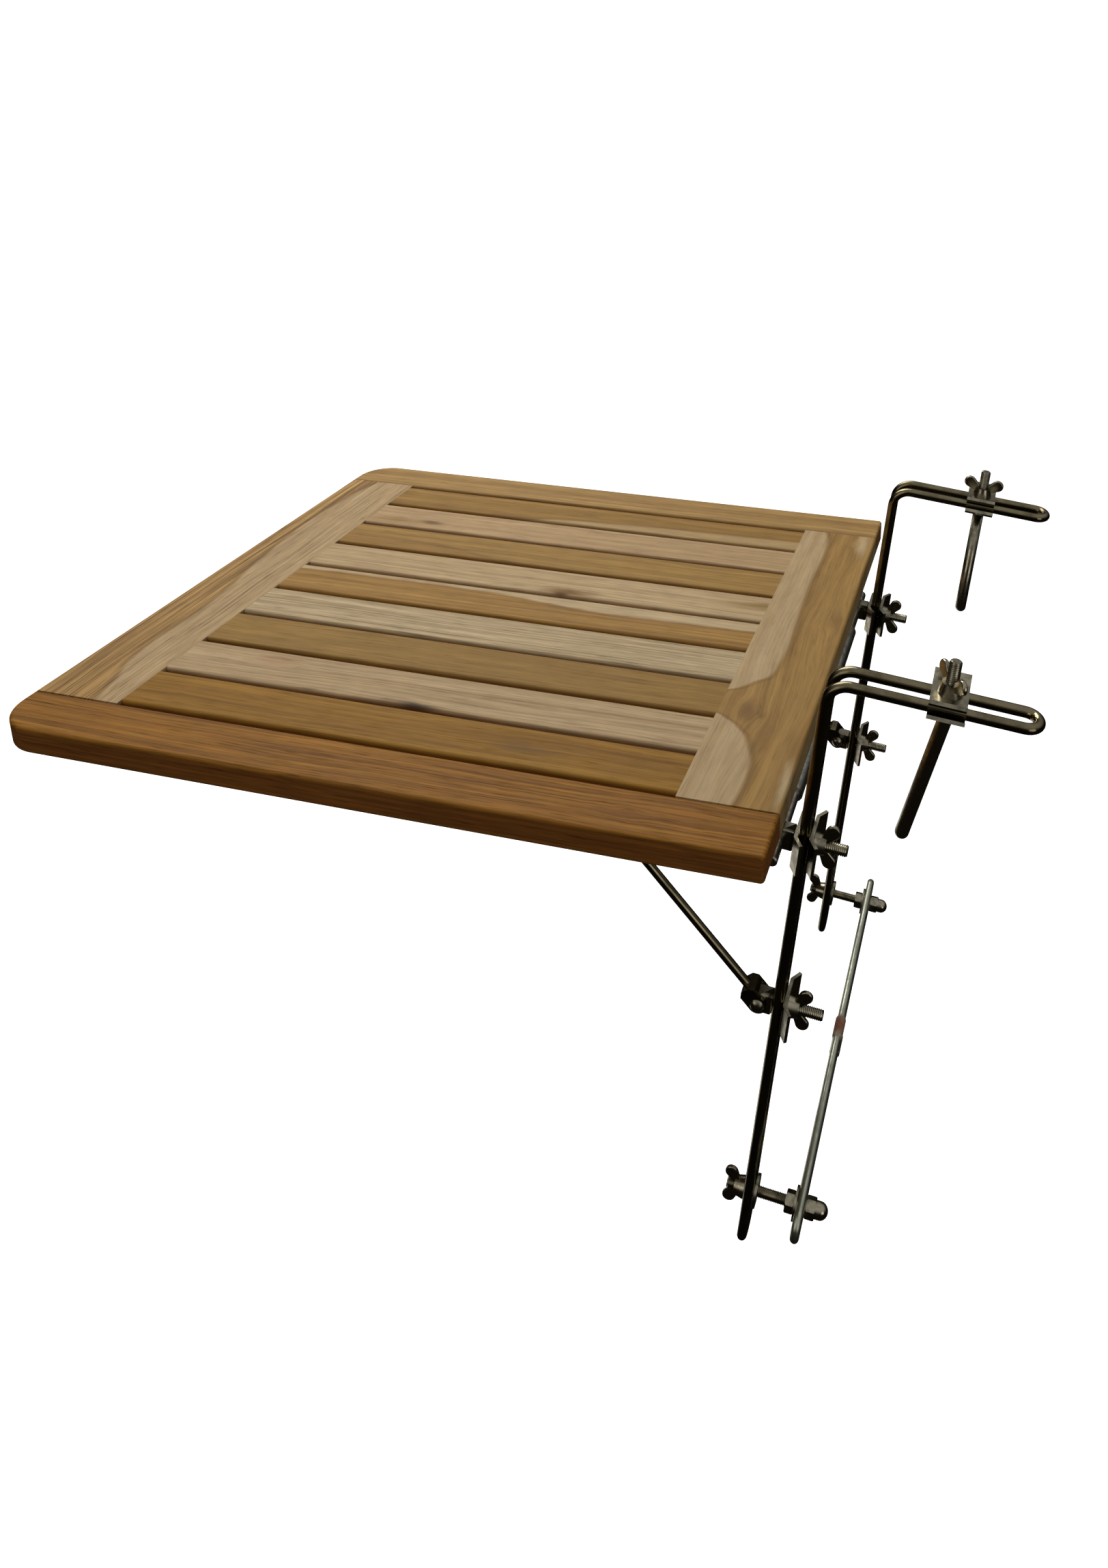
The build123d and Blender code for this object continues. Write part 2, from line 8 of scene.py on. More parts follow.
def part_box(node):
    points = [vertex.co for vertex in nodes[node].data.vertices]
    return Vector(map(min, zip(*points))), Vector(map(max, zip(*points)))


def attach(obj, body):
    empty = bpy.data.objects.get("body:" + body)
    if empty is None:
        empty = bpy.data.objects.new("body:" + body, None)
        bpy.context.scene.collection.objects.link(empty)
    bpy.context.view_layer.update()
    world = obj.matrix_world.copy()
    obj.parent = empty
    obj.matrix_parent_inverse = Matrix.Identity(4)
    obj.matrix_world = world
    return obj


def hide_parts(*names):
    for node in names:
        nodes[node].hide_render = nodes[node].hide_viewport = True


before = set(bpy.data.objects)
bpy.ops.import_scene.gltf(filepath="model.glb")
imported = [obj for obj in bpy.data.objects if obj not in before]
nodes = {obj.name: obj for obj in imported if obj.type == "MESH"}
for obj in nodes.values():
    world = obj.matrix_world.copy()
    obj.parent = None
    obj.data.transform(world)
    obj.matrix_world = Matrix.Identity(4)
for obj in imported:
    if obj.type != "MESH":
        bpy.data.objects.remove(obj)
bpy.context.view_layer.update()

mm = 0.001
print("frame loaded:", len(nodes), "CAD nodes")


def linear(hexColour):
    # An sRGB hex colour as the linear RGBA that a shader takes
    parts = [int(hexColour[i:i + 2], 16) / 255 for i in (1, 3, 5)]
    return [c / 12.92 if c < 0.04045 else ((c + 0.055) / 1.055) ** 2.4 for c in parts] + [1.0]


def add(tree, kind, sockets=None, **settings):
    # Adds one node; a socket takes a value, a socket or a node, whose first live output is used
    node = tree.nodes.new("ShaderNode" + kind)
    for key, value in settings.items():
        setattr(node, key, value)
    for key, value in (sockets or {}).items():
        if isinstance(key, int):
            target = node.inputs[key]
        else:
            target = next(s for s in node.inputs if s.enabled and s.name == key)
        if isinstance(value, bpy.types.Node):
            value = next(s for s in value.outputs if s.enabled)
        if isinstance(value, bpy.types.NodeSocket):
            tree.links.new(value, target)
        else:
            target.default_value = value
    return node


def newMaterial(name, colour):
    material = bpy.data.materials.new(name)
    material.use_nodes = True
    material.node_tree.nodes.clear()
    material.diffuse_color = linear(colour)
    return material, material.node_tree


def finishMaterial(tree, sockets):
    shader = add(tree, "BsdfPrincipled", sockets)
    add(tree, "OutputMaterial", {"Surface": shader})


def paint(material, *names):
    for name in names:
        nodes[name].data.materials.clear()
        nodes[name].data.materials.append(material)


def makeObject(name, bm, material, body):
    bmesh.ops.recalc_face_normals(bm, faces=bm.faces)
    mesh = bpy.data.meshes.new(name)
    bm.to_mesh(mesh)
    bm.free()
    mesh.shade_smooth()
    mesh.set_sharp_from_angle(angle=math.radians(32))
    mesh.materials.append(material)
    piece = bpy.data.objects.new(name, mesh)
    bpy.context.scene.collection.objects.link(piece)
    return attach(piece, body)


# The table's own axes: X from the railing side, Y along the railing, Z from the top face, in mm
tableTilt = math.radians(6.0)
hingeLow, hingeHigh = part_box("hinge_rod")
hingeCentre = (hingeLow + hingeHigh) / 2 / mm
hingeInTable = Vector((-2.9, 0, -27.6))
tableTurn = Matrix.Rotation(tableTilt, 3, "Y")
tableShift = hingeInTable - tableTurn @ Vector((hingeCentre.x, 0, hingeCentre.z))


teak = {
    "poreLength": 22.0,   # mm; real pores are about 0.2 mm wide, drawn 0.9 mm wide so that they show
    "poreWidth": 0.9,
    "fibreLength": 120.0,
    "fibreWidth": 1.7,
    "streakLength": 260.0,
    "streakWidth": 7.0,
    "bandShare": 0.42,
    "streakShare": 0.38,
    "fibreShare": 0.3,
    "roughness": 0.62,
    "specular": 0.15,
    "poreDepth": 0.1,
    "sideShadeTint": "#7e4a24",   # painted shade: the faces below the top face turn darker and redder, as the shaded sides in the gaps
    "sideShadeFrom": -0.7,
    "sideShadeTo": -4.5,
}

# Each board: light and dark wood, the width of its growth bands, how strong its dark late lines are, how
# far the grain wanders, where the heart of the tree lies under it (across, below) and how steeply it
# rises, all in mm. A knot is along, across, half length, half width, push, strength and colour; pale sap
# wood lies on one side of a line through points (along, across)
boards = {
    "front_rail": dict(fine=0.9, bands=0.6, light="#976721", dark="#653c0d", line="#43250a", band=3.4, late=0.5, wander=7.0,
                       heart=(60, 50), rise=0.02, seed=3,
                       knots=[(-97, -195, 26, 8, 7.0, 0.3, "#5a3319"), (-70, -185, 60, 14, 4.0, 0.2, "#6b4220")]),
    "back_rail": dict(fine=0.55, light="#a78650", dark="#79582e", line="#6a4924", band=9.0, late=0.3, wander=5.0,
                      heart=(-60, 70), rise=0.01, seed=11),
    "slat_1": dict(fine=0.5, light="#946c25", dark="#6a4512", line="#603f11", band=9.0, late=0.35, wander=8.0,
                   heart=(60, 40), rise=0.03, seed=21, knots=[(-178, -148, 34, 9, 3.0, 0.5, "#5e4526")]),
    "slat_2": dict(fine=0.6, bands=0.6, light="#b39a75", dark="#846945", line="#765436", band=8.0, late=0.3, wander=9.0,
                   heart=(14, 34), rise=0.05, seed=37,
                   knots=[(-275, -120, 22, 5, 3.0, 1.0, "#3a372c"), (-300, -122, 90, 5, 2.0, 0.5, "#6f4c2e"),
                          (-403, -92, 26, 9, 5.0, 0.4, "#94694a")]),
    "slat_3": dict(fine=0.45, light="#96753b", dark="#6e5025", line="#674822", band=12.0, late=0.2, wander=6.0,
                   heart=(-50, 60), rise=0.015, seed=41),
    "slat_4": dict(fine=0.8, bands=0.7, light="#bca784", dark="#8d7752", line="#755c3d", band=2.6, late=0.75, wander=4.0,
                   heart=(120, 20), rise=0.01, seed=53),
    "slat_5": dict(fine=0.5, light="#a37e40", dark="#775326", line="#6d4828", band=7.0, late=0.3, wander=4.0,
                   heart=(70, 30), rise=0.01, seed=67,
                   pale=dict(colour="#b8a380", side=1, soft=2.0,
                             line=[(-480, 50), (-380, 52), (-290, 50), (-185, 41), (-62, 43)])),
    "slat_6": dict(fine=0.55, bands=0.6, light="#b9a079", dark="#907450", line="#8a6a47", band=8.0, late=0.35, wander=7.0,
                   heart=(10, 30), rise=0.04, seed=71,
                   knots=[(-236, 68, 34, 9, 7.0, 1.0, "#77592e"), (-241, 64, 10, 4, 3.0, 1.0, "#5c3a1c"),
                          (-72, 86, 44, 8, 5.0, 0.8, "#86693a")]),
    "slat_7": dict(fine=0.45, light="#9d7b40", dark="#74552a", line="#6c4b27", band=10.0, late=0.25, wander=6.0,
                   heart=(-40, 50), rise=0.015, seed=83,
                   pale=dict(colour="#8d6a34", side=-1, soft=2.6,
                             line=[(-478, 126), (-423, 124), (-357, 117), (-300, 106), (-62, 104)])),
    "slat_8": dict(fine=0.5, bands=0.6, light="#b2956e", dark="#8a6c46", line="#856442", band=11.0, late=0.25, wander=6.0,
                   heart=(20, 60), rise=0.02, seed=97,
                   knots=[(-448, 164, 44, 9, 5.0, 0.55, "#8a6a3c"), (-414, 167, 18, 5, 3.0, 0.8, "#5f4828")]),
    "slat_9": dict(fine=0.45, light="#977439", dark="#6f5125", line="#674825", band=10.0, late=0.25, wander=8.0,
                   heart=(-20, 45), rise=0.04, seed=101,
                   pale=dict(colour="#a68c62", side=-1, soft=2.6,
                             line=[(-478, 196), (-340, 199), (-290, 207), (-180, 213), (-62, 216)])),
    "left_stile": dict(light="#b79259", dark="#7b5931", line="#4e3a21", band=3.4, late=0.9, wander=8.0,
                       heart=(-20, 24), rise=0.05, seed=113, turned=True,
                       pale=dict(colour="#aa926f", side=1, soft=2.6,
                                 line=[(-174, -494), (-146, -501), (-90, -513), (-41, -511), (55, -522),
                                       (138, -528), (214, -523), (250, -500)])),
    # The right stile's side colour is painted light: its faces below the top are painted pale, as if lit from the right
    "right_stile": dict(fine=0.4, bands=0.8, side="#a8936c", light="#9e7c45", dark="#704f25", line="#5b3d1d", band=14.0, late=0.25, wander=14.0,
                        heart=(12, 22), rise=0.06, seed=131, turned=True,
                        knots=[(-66, -46, 20, 12, 9.0, 0.7, "#6b4c2b"), (-95, -28, 30, 9, 6.0, 0.35, "#6b4c2b"),
                               (73, -12, 24, 9, 5.0, 0.3, "#6f4d2a"), (228, -10, 36, 9, 3.0, 0.8, "#b8a27b"),
                               (-142, -4, 34, 5, 2.0, 0.8, "#b8a27b")],
                        pale=dict(colour="#ae9672", side=-1, soft=2.6,
                                  line=[(-170, -31), (-145, -29), (-108, -36), (-87, -49), (-76, -63),
                                        (-60, -76), (-48, -72), (-39, -60), (-27, -50), (-11, -40),
                                        (21, -38), (80, -40), (140, -42), (206, -41), (246, -48)])),
    "inner_batten": dict(light="#94703f", dark="#694724", line="#5c3d20", band=8.0, late=0.4, wander=8.0,
                         heart=(20, 40), rise=0.03, seed=149, turned=True),
    "outer_batten": dict(light="#96743f", dark="#6b4b27", line="#5c3d20", band=8.0, late=0.4, wander=8.0,
                         heart=(-20, 40), rise=0.03, seed=151, turned=True),
}


def curveThrough(tree, value, points):
    # A smooth line through points (along, across), read at a value along
    low, high = min(p[1] for p in points), max(p[1] for p in points)
    first, last = points[0][0], points[-1][0]
    share = add(tree, "MapRange", {"Value": value, "From Min": first, "From Max": last})
    node = add(tree, "FloatCurve", {"Value": share})
    curve = node.mapping.curves[0]
    for index, (along, across) in enumerate(points):
        spot = ((along - first) / (last - first), (across - low) / (high - low))
        if index == 0:
            curve.points[0].location = spot
        elif index == len(points) - 1:
            curve.points[len(curve.points) - 1].location = spot
        else:
            curve.points.new(*spot)
    node.mapping.update()
    return add(tree, "MapRange", {"Value": node, "To Min": low, "To Max": high})


def teakBoard(name, look):
    # Teak, planed and oiled: growth bands that wander along the board, thin dark late wood lines and
    # long open pores under a satin surface
    material, tree = newMaterial("teak_" + name, look["light"])
    place = add(tree, "TexCoord")
    table = add(tree, "Mapping", {"Vector": place.outputs["Object"], "Scale": (1 / mm,) * 3,
                                  "Rotation": (0, tableTilt, 0), "Location": tableShift})
    axes = add(tree, "SeparateXYZ", {0: table})
    along, across = axes.outputs[0], axes.outputs[1]
    if look.get("turned"):
        along, across = across, along
    depth = axes.outputs[2]
    seeded = add(tree, "Math", {0: along, 1: look["seed"] * 1000.0}, operation="ADD")
    grain = add(tree, "CombineXYZ", {0: seeded, 1: across, 2: depth})

    # The grain wanders, and bends round each knot
    slow = add(tree, "VectorMath", {0: grain, 1: (1 / 230, 1 / 60, 1 / 60)}, operation="MULTIPLY")
    wave = add(tree, "TexNoise", {"Vector": slow, "Scale": 1.0, "Detail": 2.0})
    coarse = add(tree, "VectorMath", {0: grain, 1: (1 / 30, 1 / 9, 1 / 9)}, operation="MULTIPLY")
    ragged = add(tree, "TexNoise", {"Vector": coarse, "Scale": 1.0, "Detail": 3.0})
    wander = add(tree, "Math", {0: wave, 1: look["wander"] * 2, 2: -look["wander"]}, operation="MULTIPLY_ADD")
    line = add(tree, "Math", {0: across, 1: wander}, operation="ADD")
    knotMasks = []
    for a, b, long, wide, push, strength, colour in look.get("knots", []):
        u = add(tree, "Math", {0: along, 1: -a}, operation="ADD")
        v = add(tree, "Math", {0: across, 1: -b}, operation="ADD")
        u = add(tree, "Math", {0: u, 1: long}, operation="DIVIDE")
        v = add(tree, "Math", {0: v, 1: wide}, operation="DIVIDE")
        tear = add(tree, "Math", {0: ragged, 1: 1.6, 2: -0.8}, operation="MULTIPLY_ADD")
        torn = add(tree, "Math", {0: v, 1: tear}, operation="ADD")
        flat = add(tree, "CombineXYZ", {0: u, 1: torn})
        far = add(tree, "VectorMath", {0: flat}, operation="LENGTH")
        near = add(tree, "MapRange", {"Value": far.outputs["Value"], "From Min": 1.4, "From Max": 0.0},
                   interpolation_type="SMOOTHERSTEP")
        shove = add(tree, "Math", {0: near, 1: v}, operation="MULTIPLY")
        line = add(tree, "Math", {0: shove, 1: -push, 2: line}, operation="MULTIPLY_ADD")
        knotMasks.append((near, strength, colour))

    # Growth bands are shells round the heart of the tree
    heartAcross, heartBelow = look["heart"]
    sideways = add(tree, "Math", {0: line, 1: -heartAcross}, operation="ADD")
    rising = add(tree, "Math", {0: along, 1: look["rise"], 2: heartBelow}, operation="MULTIPLY_ADD")
    below = add(tree, "Math", {0: depth, 1: rising}, operation="ADD")
    shell = add(tree, "CombineXYZ", {0: sideways, 1: below})
    radius = add(tree, "VectorMath", {0: shell}, operation="LENGTH").outputs["Value"]
    bandPlace = add(tree, "Math", {0: radius, 1: look["seed"] * 50.0}, operation="ADD")
    band = add(tree, "TexNoise", {"W": bandPlace, "Scale": 1 / look["band"], "Detail": 3.0, "Roughness": 0.6},
               noise_dimensions="1D")
    bands = add(tree, "MapRange", {"Value": band, "From Min": 0.36, "From Max": 0.64})
    late = add(tree, "TexNoise", {"W": bandPlace, "Scale": 2.2 / look["band"], "Detail": 2.0, "Roughness": 0.6},
               noise_dimensions="1D")
    lateLines = add(tree, "MapRange", {"Value": late, "From Min": 0.53, "From Max": 0.66})

    # Streaks, fibres and pores run along the board
    streakSize = (1 / teak["streakLength"], 1 / teak["streakWidth"], 1 / teak["streakWidth"])
    fibreSize = (1 / teak["fibreLength"], 1 / teak["fibreWidth"], 1 / teak["fibreWidth"])
    poreSize = (1 / teak["poreLength"], 1 / teak["poreWidth"], 1 / teak["poreWidth"])
    bent = add(tree, "CombineXYZ", {0: seeded, 1: line, 2: depth})
    noises = []
    for size in (streakSize, fibreSize, poreSize):
        scaled = add(tree, "VectorMath", {0: bent, 1: size}, operation="MULTIPLY")
        noises.append(add(tree, "TexNoise", {"Vector": scaled, "Scale": 1.0, "Detail": 3.0}))
    streaks, fibres, pores = noises
    mixed = add(tree, "Math", {0: bands, 1: teak["bandShare"] * look.get("bands", 1.0), 2: -0.05}, operation="MULTIPLY_ADD")
    fine = look.get("fine", 1.0)
    for noise, share in ((streaks, teak["streakShare"] * (0.3 + 0.6 * fine)), (fibres, teak["fibreShare"] * fine)):
        spread = add(tree, "MapRange", {"Value": noise, "From Min": 0.36, "From Max": 0.64})
        mixed = add(tree, "Math", {0: spread, 1: share, 2: mixed}, operation="MULTIPLY_ADD")
    mixed = add(tree, "Math", {0: mixed, 1: 0.0}, operation="MAXIMUM", use_clamp=True)
    light, dark = linear(look["light"]), linear(look["dark"])
    colour = add(tree, "Mix", {"Factor": mixed, "A": light, "B": dark}, data_type="RGBA")
    lineShare = look["late"]
    broken = add(tree, "MapRange", {"Value": streaks, "From Min": 0.38, "From Max": 0.56})
    lines = add(tree, "Math", {0: lateLines, 1: broken}, operation="MULTIPLY")
    if "pale" in look:
        pale = look["pale"]
        border = curveThrough(tree, along, pale["line"])
        past = add(tree, "Math", {0: across, 1: border}, operation="SUBTRACT")
        past = add(tree, "Math", {0: ragged, 1: 3.0, 2: past}, operation="MULTIPLY_ADD")
        past = add(tree, "Math", {0: past, 1: -1.5}, operation="ADD")
        sap = add(tree, "MapRange", {"Value": past, "From Min": -pale["soft"] * pale["side"],
                                     "From Max": pale["soft"] * pale["side"]}, interpolation_type="SMOOTHSTEP")
        weak = add(tree, "Math", {0: mixed, 1: 0.6}, operation="MULTIPLY")
        paleTone = add(tree, "Mix", {"Factor": weak, "A": linear(pale["colour"]), "B": colour},
                       data_type="RGBA")
        colour = add(tree, "Mix", {"Factor": sap, "A": colour, "B": paleTone}, data_type="RGBA")
        heartWood = add(tree, "Math", {0: sap, 1: -0.8, 2: 1.0}, operation="MULTIPLY_ADD")
        lines = add(tree, "Math", {0: lines, 1: heartWood}, operation="MULTIPLY")
        edge = add(tree, "MapRange", {"Value": past, "From Min": -6.0 * pale["side"], "From Max": 0.0})
        edge = add(tree, "Math", {0: edge, 1: 1.0}, operation="PINGPONG")
        notSap = add(tree, "Math", {0: sap, 1: -1.0, 2: 1.0}, operation="MULTIPLY_ADD")
        edge = add(tree, "Math", {0: edge, 1: notSap}, operation="MULTIPLY")
        edge = add(tree, "Math", {0: edge, 1: 0.5}, operation="MULTIPLY")
        colour = add(tree, "Mix", {"Factor": edge, "A": colour, "B": linear(look["line"])}, data_type="RGBA")
    lines = add(tree, "Math", {0: lines, 1: lineShare}, operation="MULTIPLY")
    colour = add(tree, "Mix", {"Factor": lines, "A": colour, "B": linear(look["line"])}, data_type="RGBA")
    for near, strength, knotColour in knotMasks:
        core = add(tree, "Math", {0: near, 1: 1.5}, operation="POWER")
        core = add(tree, "Math", {0: core, 1: strength}, operation="MULTIPLY")
        colour = add(tree, "Mix", {"Factor": core, "A": colour, "B": linear(knotColour)}, data_type="RGBA")
    # Painted shade: faces below the top face (the sides in the gaps, the front face, the underside) are mixed towards a
    # darker, redder side colour; a board with its own pale side colour gets painted light there instead
    sides = add(tree, "MapRange", {"Value": depth, "From Min": teak["sideShadeFrom"], "From Max": teak["sideShadeTo"],
                                   "To Max": 0.65})
    colour = add(tree, "Mix", {"Factor": sides, "A": colour, "B": linear(look.get("side", teak["sideShadeTint"]))}, data_type="RGBA")
    fibreTone = add(tree, "MapRange", {"Value": fibres, "From Min": 0.34, "From Max": 0.66,
                                       "To Min": 1 + 0.18 * fine, "To Max": 1 - 0.18 * fine})
    blotch = add(tree, "MapRange", {"Value": ragged, "From Min": 0.3, "From Max": 0.7, "To Min": -0.09,
                                    "To Max": 0.09})
    fibreTone = add(tree, "Math", {0: fibreTone, 1: blotch}, operation="ADD")
    poreMask = add(tree, "MapRange", {"Value": pores, "From Min": 0.56, "From Max": 0.68})
    poreTone = add(tree, "Math", {0: poreMask, 1: -0.36 * fine, 2: fibreTone}, operation="MULTIPLY_ADD")
    colour = add(tree, "VectorMath", {0: colour, "Scale": poreTone}, operation="SCALE")
    rough = add(tree, "Math", {0: poreMask, 1: 0.2, 2: teak["roughness"]}, operation="MULTIPLY_ADD")
    height = add(tree, "Math", {0: poreMask, 1: -1.0, 2: fibres}, operation="MULTIPLY_ADD")
    bump = add(tree, "Bump", {"Height": height, "Distance": teak["poreDepth"] * mm, "Strength": 0.5})
    finishMaterial(tree, {"Base Color": colour, "Roughness": rough, "Normal": bump,
                          "Specular IOR Level": teak["specular"]})
    paint(material, name)


for boardName, boardLook in boards.items():
    teakBoard(boardName, boardLook)
print("teak boards:", len(boards))


metals = {
    "rod": dict(colour="#857b60", stain="#5f5641", rough=0.14, blotch=16.0, scratch=0.06),
    "hardware": dict(colour="#a8a18b", stain="#6f6a5a", rough=0.2, blotch=7.0, scratch=0.08),
    "leaf": dict(colour="#bdbcb5", stain="#7d7a6e", rough=0.28, blotch=5.0, scratch=0.3),
    "spreader": dict(colour="#c6c9b6", stain="#a8ab98", rough=0.3, blotch=14.0, scratch=0.06),
    "screw": dict(colour="#9b9a94", stain="#565349", rough=0.3, blotch=3.0, scratch=0.3),
}


def zincPlate(name, look, rustAt=()):
    # Steel, zinc plated and passivated: a dull silvery skin with cloudy darker stains and fine scratches;
    # where it was welded the zinc has burnt off and the steel has rusted
    material, tree = newMaterial(name, look["colour"])
    place = add(tree, "TexCoord")
    spot = add(tree, "VectorMath", {0: place.outputs["Object"], 1: (1 / mm,) * 3}, operation="MULTIPLY")
    clouds = add(tree, "TexNoise", {"Vector": spot, "Scale": 1 / look["blotch"], "Detail": 4.0,
                                    "Roughness": 0.6})
    specks = add(tree, "TexNoise", {"Vector": spot, "Scale": 1 / 0.9, "Detail": 2.0})
    stain = add(tree, "MapRange", {"Value": clouds, "From Min": 0.42, "From Max": 0.7})
    speck = add(tree, "MapRange", {"Value": specks, "From Min": 0.66, "From Max": 0.76, "To Max": 0.35})
    dull = add(tree, "Math", {0: stain, 1: speck}, operation="MAXIMUM")
    colour = add(tree, "Mix", {"Factor": dull, "A": linear(look["colour"]), "B": linear(look["stain"])},
                 data_type="RGBA")
    rough = add(tree, "MapRange", {"Value": clouds, "From Min": 0.3, "From Max": 0.7,
                                   "To Min": look["rough"] - 0.06, "To Max": look["rough"] + 0.14})
    metallic = 1.0
    height = specks
    for centre, reach in rustAt:
        away = add(tree, "VectorMath", {0: spot, 1: centre}, operation="DISTANCE")
        ragged = add(tree, "Math", {0: clouds, 1: reach * 1.6, 2: away.outputs["Value"]},
                     operation="MULTIPLY_ADD")
        rust = add(tree, "MapRange", {"Value": ragged, "From Min": reach * 1.9, "From Max": reach * 1.2})
        rustTone = add(tree, "Mix", {"Factor": specks, "A": linear("#6b3f26"), "B": linear("#b07a58")},
                       data_type="RGBA")
        colour = add(tree, "Mix", {"Factor": rust, "A": colour, "B": rustTone}, data_type="RGBA")
        rough = add(tree, "Mix", {"Factor": rust, "A": rough, "B": 0.75}, data_type="FLOAT")
        metallic = add(tree, "MapRange", {"Value": rust, "To Min": metallic if metallic == 1.0 else 1.0,
                                          "To Max": 0.15})
        height = add(tree, "Math", {0: rust, 1: 1.5, 2: specks}, operation="MULTIPLY_ADD")
    bump = add(tree, "Bump", {"Height": height, "Distance": 0.05 * mm, "Strength": look["scratch"]})
    finishMaterial(tree, {"Base Color": colour, "Metallic": metallic, "Roughness": rough, "Normal": bump})
    return material


spreaderLow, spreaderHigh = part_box("spreader")
weld = Vector((spreaderLow.x + spreaderHigh.x, 0, spreaderHigh.z * 2)) / 2 / mm
weld = Vector((weld.x, -5.0, weld.z - 4))
rodZinc = zincPlate("zinc_plated_rod", metals["rod"])
hardwareZinc = zincPlate("zinc_plated_fittings", metals["hardware"])
leafZinc = zincPlate("zinc_plated_sheet", metals["leaf"])
spreaderZinc = zincPlate("zinc_plated_rod_welded", metals["spreader"], [(weld, 13.0)])
screwSteel = zincPlate("steel_screw", metals["screw"])
sides = ("near", "far")
for side in sides:
    paint(rodZinc, side + "_hanger", side + "_strut")
    fittings = ("hinge_outer_saddle", "hinge_inner_saddle", "hinge_wing_nut", "strut_saddle", "strut_wing_nut",
                "fork_pin", "strut_top_pin", "arm_saddle", "arm_plate", "arm_wing_nut", "spreader_wing_nut",
                "bracket")
    paint(hardwareZinc, *[side + "_" + fitting for fitting in fittings])
paint(hardwareZinc, "spreader_cap_nuts", "spreader_nuts", "spreader_washers", "leg_washers")
paint(leafZinc, "hinge_leaf", "hinge_rod")
paint(spreaderZinc, "spreader")
paint(screwSteel, "batten_screws", "bracket_screws", "hinge_leaf_screws")
print("metals painted")


thread = {"radius": 3.96 * mm, "depth": 0.62 * mm, "pitch": 1.25 * mm, "steps": 24, "tip": 0.9 * mm}


def threadBar(bm, start, end, placed):
    # Cuts a helical thread between two distances along X, and then puts it in its place
    pitch = thread["pitch"]
    new = bmesh.new()
    verts = []
    turns = math.ceil((end - start) / pitch) + 2
    for turn in range(turns):
        x = start - pitch + turn * pitch
        for share, depth in ((0.0, 1.0), (0.38, 0.0), (0.5, 0.0), (0.88, 1.0)):
            verts.append(new.verts.new((x + share * pitch, 0, thread["radius"] - depth * thread["depth"])))
    edges = [new.edges.new(pair) for pair in zip(verts, verts[1:])]
    bmesh.ops.spin(new, geom=verts + edges, cent=(0, 0, 0), axis=(1, 0, 0), dvec=(pitch / thread["steps"], 0, 0),
                   angle=math.tau, steps=thread["steps"], use_merge=False)
    bmesh.ops.remove_doubles(new, verts=new.verts, dist=pitch / 100)
    for x, facing in ((start, -1), (end, 1)):
        whole = new.verts[:] + new.edges[:] + new.faces[:]
        bmesh.ops.bisect_plane(new, geom=whole, plane_co=(x, 0, 0), plane_no=(facing, 0, 0), clear_outer=True)
        rim = [e for e in new.edges if e.is_boundary and all(abs(v.co.x - x) < pitch / 50 for v in e.verts)]
        bmesh.ops.holes_fill(new, edges=rim, sides=0)
    for v in new.verts:
        limit = thread["radius"] - max(0, v.co.x - (end - thread["tip"]))
        reach = math.hypot(v.co.y, v.co.z)
        if reach > limit:
            v.co.y *= limit / reach
            v.co.z *= limit / reach
    bmesh.ops.transform(new, matrix=placed, verts=new.verts)
    bmesh.ops.recalc_face_normals(new, faces=new.faces)
    part = bpy.data.meshes.new("thread")
    new.to_mesh(part)
    new.free()
    bm.from_mesh(part)
    bpy.data.meshes.remove(part)


def copyOfNode(node, planePoint, planeNormal):
    # The part of a CAD node behind a plane, closed where it was cut
    bm = bmesh.new()
    bm.from_mesh(nodes[node].data)
    bmesh.ops.remove_doubles(bm, verts=bm.verts, dist=0.002 * mm)
    whole = bm.verts[:] + bm.edges[:] + bm.faces[:]
    bmesh.ops.bisect_plane(bm, geom=whole, plane_co=planePoint, plane_no=planeNormal, clear_outer=True)
    normal = Vector(planeNormal)
    rim = [e for e in bm.edges if e.is_boundary and all(abs((v.co - planePoint).dot(normal)) < 0.01 * mm
                                                        for v in e.verts)]
    bmesh.ops.holes_fill(bm, edges=rim, sides=0)
    return bm


def makeThreads():
    for side in sides:
        for clamp, body in (("hinge", "hinge_clamps"), ("strut", "strut_clamps")):
            node = f"{side}_{clamp}_eye_bolt"
            low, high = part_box(node)
            centre = Vector((0, (low.y + high.y) / 2, (low.z + high.z) / 2))
            cut = Vector((-3.5 * mm, centre.y, centre.z))
            bm = copyOfNode(node, cut, (1, 0, 0))
            threadBar(bm, cut.x - 1 * mm, high.x, Matrix.Translation(centre))
            bolt = makeObject(f"{side}_{clamp}_bolt_threaded", bm, hardwareZinc, body)
            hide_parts(node)
        node = side + "_leg_pin"
        low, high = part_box(node)
        centre = Vector((high.x - 4.5 * mm, (low.y + high.y) / 2, 0))
        cut = Vector((centre.x, centre.y, 0.5 * mm))
        bm = copyOfNode(node, cut, (0, 0, 1))
        upright = Matrix.Translation(centre) @ Matrix.Rotation(math.radians(-90), 4, "Y")
        threadBar(bm, cut.z - 1 * mm, high.z, upright)
        pin = makeObject(side + "_leg_pin_threaded", bm, hardwareZinc, side + "_arm_clamp")
        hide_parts(node)
    low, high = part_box("spreader_bolts")
    bm = bmesh.new()
    for y in (low.y + 4 * mm, high.y - 4 * mm):
        centre = Vector((0, y, (low.z + high.z) / 2))
        turned = Matrix.Translation(centre) @ Matrix.Rotation(math.pi, 4, "Z")
        threadBar(bm, -high.x, -low.x, turned)
    bolts = makeObject("spreader_bolts_threaded", bm, hardwareZinc, "spreader")
    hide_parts("spreader_bolts")


makeThreads()
print("threads cut")


studio = {
    "floorHeight": -1.0,     # a railing is about a metre above the balcony's floor
    "floorReach": 14.0,
    "floorColour": "#f4f3f0",
    "keyPower": 30.0,
    "fillPower": 4.0,
    "sidePower": 2.6,
    "lowPower": 2.5,
    "skyTop": "#ffffff",
    "skyLow": "#231f1b",
    "skyPower": 0.52,
}


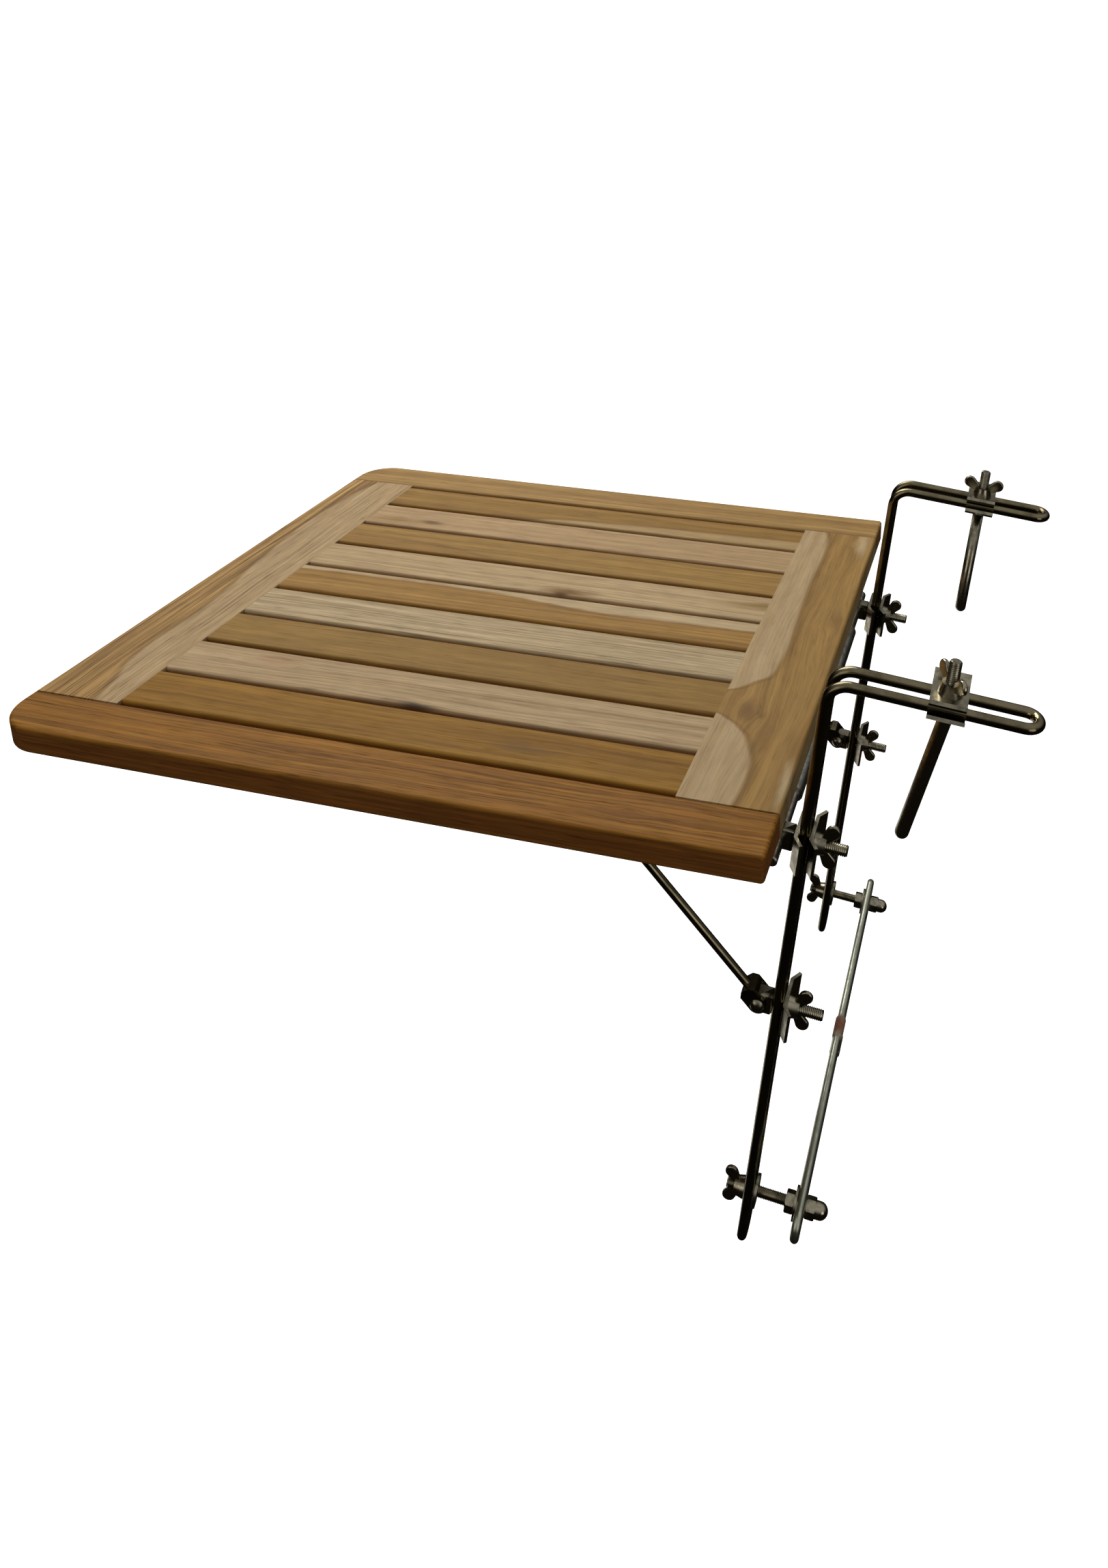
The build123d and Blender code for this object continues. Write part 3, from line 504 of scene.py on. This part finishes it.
def paleFloor():
    # Matt white paper, lit evenly
    material, tree = newMaterial("paper_backdrop", studio["floorColour"])
    place = add(tree, "TexCoord")
    fibre = add(tree, "TexNoise", {"Vector": place.outputs["Object"], "Scale": 3.0, "Detail": 2.0})
    tone = add(tree, "MapRange", {"Value": fibre, "To Min": 0.985, "To Max": 1.0})
    colour = add(tree, "VectorMath", {0: linear(studio["floorColour"])[:3], "Scale": tone}, operation="SCALE")
    finishMaterial(tree, {"Base Color": colour, "Roughness": 0.9, "Emission Color": linear("#ffffff"),
                          "Emission Strength": 1.0})
    return material


def makeStage():
    reach, z = studio["floorReach"], studio["floorHeight"]
    bm = bmesh.new()
    bmesh.ops.create_grid(bm, x_segments=2, y_segments=2, size=reach)
    bmesh.ops.translate(bm, verts=bm.verts, vec=(0, 0, z))
    bmesh.ops.create_uvsphere(bm, u_segments=64, v_segments=32, radius=reach * 0.98)
    floorMesh = bpy.data.meshes.new("floor")
    bm.to_mesh(floorMesh)
    bm.free()
    floorMesh.shade_smooth()
    floorMesh.materials.append(paleFloor())
    floor = bpy.data.objects.new("floor", floorMesh)
    bpy.context.scene.collection.objects.link(floor)
    floor.visible_glossy = False
    floor.visible_shadow = False
    floor.visible_diffuse = False


def makeLights():
    world = bpy.data.worlds.new("studio")
    bpy.context.scene.world = world
    world.use_nodes = True
    tree = world.node_tree
    tree.nodes.clear()
    place = add(tree, "TexCoord")
    height = add(tree, "SeparateXYZ", {0: place.outputs["Generated"]})
    rise = add(tree, "MapRange", {"Value": height.outputs[2], "From Min": 0.1, "From Max": 0.85},
               interpolation_type="SMOOTHSTEP")
    sky = add(tree, "Mix", {"Factor": rise, "A": linear(studio["skyLow"]), "B": linear(studio["skyTop"])},
              data_type="RGBA")
    background = add(tree, "Background", {"Color": sky, "Strength": studio["skyPower"]})
    add(tree, "OutputWorld", {"Surface": background})
    for name, place, size, power, colour in (
            ("key", (-1.1, 1.1, 1.3), 1.4, studio["keyPower"], "#fffdf8"),
            ("fill", (-1.2, -1.7, 0.5), 1.2, studio["fillPower"], "#fff8ee"),
            ("side", (1.2, -1.2, 0.2), 0.9, studio["sidePower"], "#fffdf8"),
            ("low", (-0.7, 0.5, -0.95), 1.0, studio["lowPower"], "#fffdf8")):
        lamp = bpy.data.lights.new(name, "AREA")
        lamp.size = size
        lamp.energy = power
        lamp.color = linear(colour)[:3]
        lampObject = bpy.data.objects.new(name, lamp)
        bpy.context.scene.collection.objects.link(lampObject)
        lampObject.location = place
        aim = Vector((-0.2, 0, -0.15)) - Vector(place)
        lampObject.rotation_euler = aim.to_track_quat("-Z", "Y").to_euler()


camera = {
    "place": (56.277, -788.611, 395.811),   # mm
    "azimuth": -11.2975,
    "elevation": 18.2829,
    "roll": 7.106,
    "focus": 1762.77,        # in pixels of the photograph, 1623 wide and 2296 high
    "centreShift": (300.0, -599.98),
    "frame": (1623, 2296),
}


def makeCamera():
    # The photograph is cropped from a wider picture, so its centre lies off the lens's axis
    azimuth, elevation, roll = (math.radians(camera[k]) for k in ("azimuth", "elevation", "roll"))
    ahead = Vector((math.sin(azimuth) * math.cos(elevation), math.cos(azimuth) * math.cos(elevation),
                    -math.sin(elevation)))
    level = ahead.cross(Vector((0, 0, 1))).normalized()
    upright = level.cross(ahead)
    right = level * math.cos(roll) + upright * math.sin(roll)
    up = upright * math.cos(roll) - level * math.sin(roll)
    data = bpy.data.cameras.new("camera")
    data.lens = camera["focus"] * data.sensor_width / camera["frame"][1]
    data.shift_x = -camera["centreShift"][0] / camera["frame"][1]
    data.shift_y = camera["centreShift"][1] / camera["frame"][1]
    data.clip_start, data.clip_end = 0.01, 60.0
    made = bpy.data.objects.new("camera", data)
    bpy.context.scene.collection.objects.link(made)
    turn = Matrix((right, up, -ahead)).transposed()
    made.matrix_world = Matrix.Translation(Vector(camera["place"]) * mm) @ turn.to_4x4()
    bpy.context.scene.camera = made


makeStage()
makeLights()
makeCamera()
bpy.context.scene.view_settings.view_transform = "Standard"
print("stage, light and camera set")
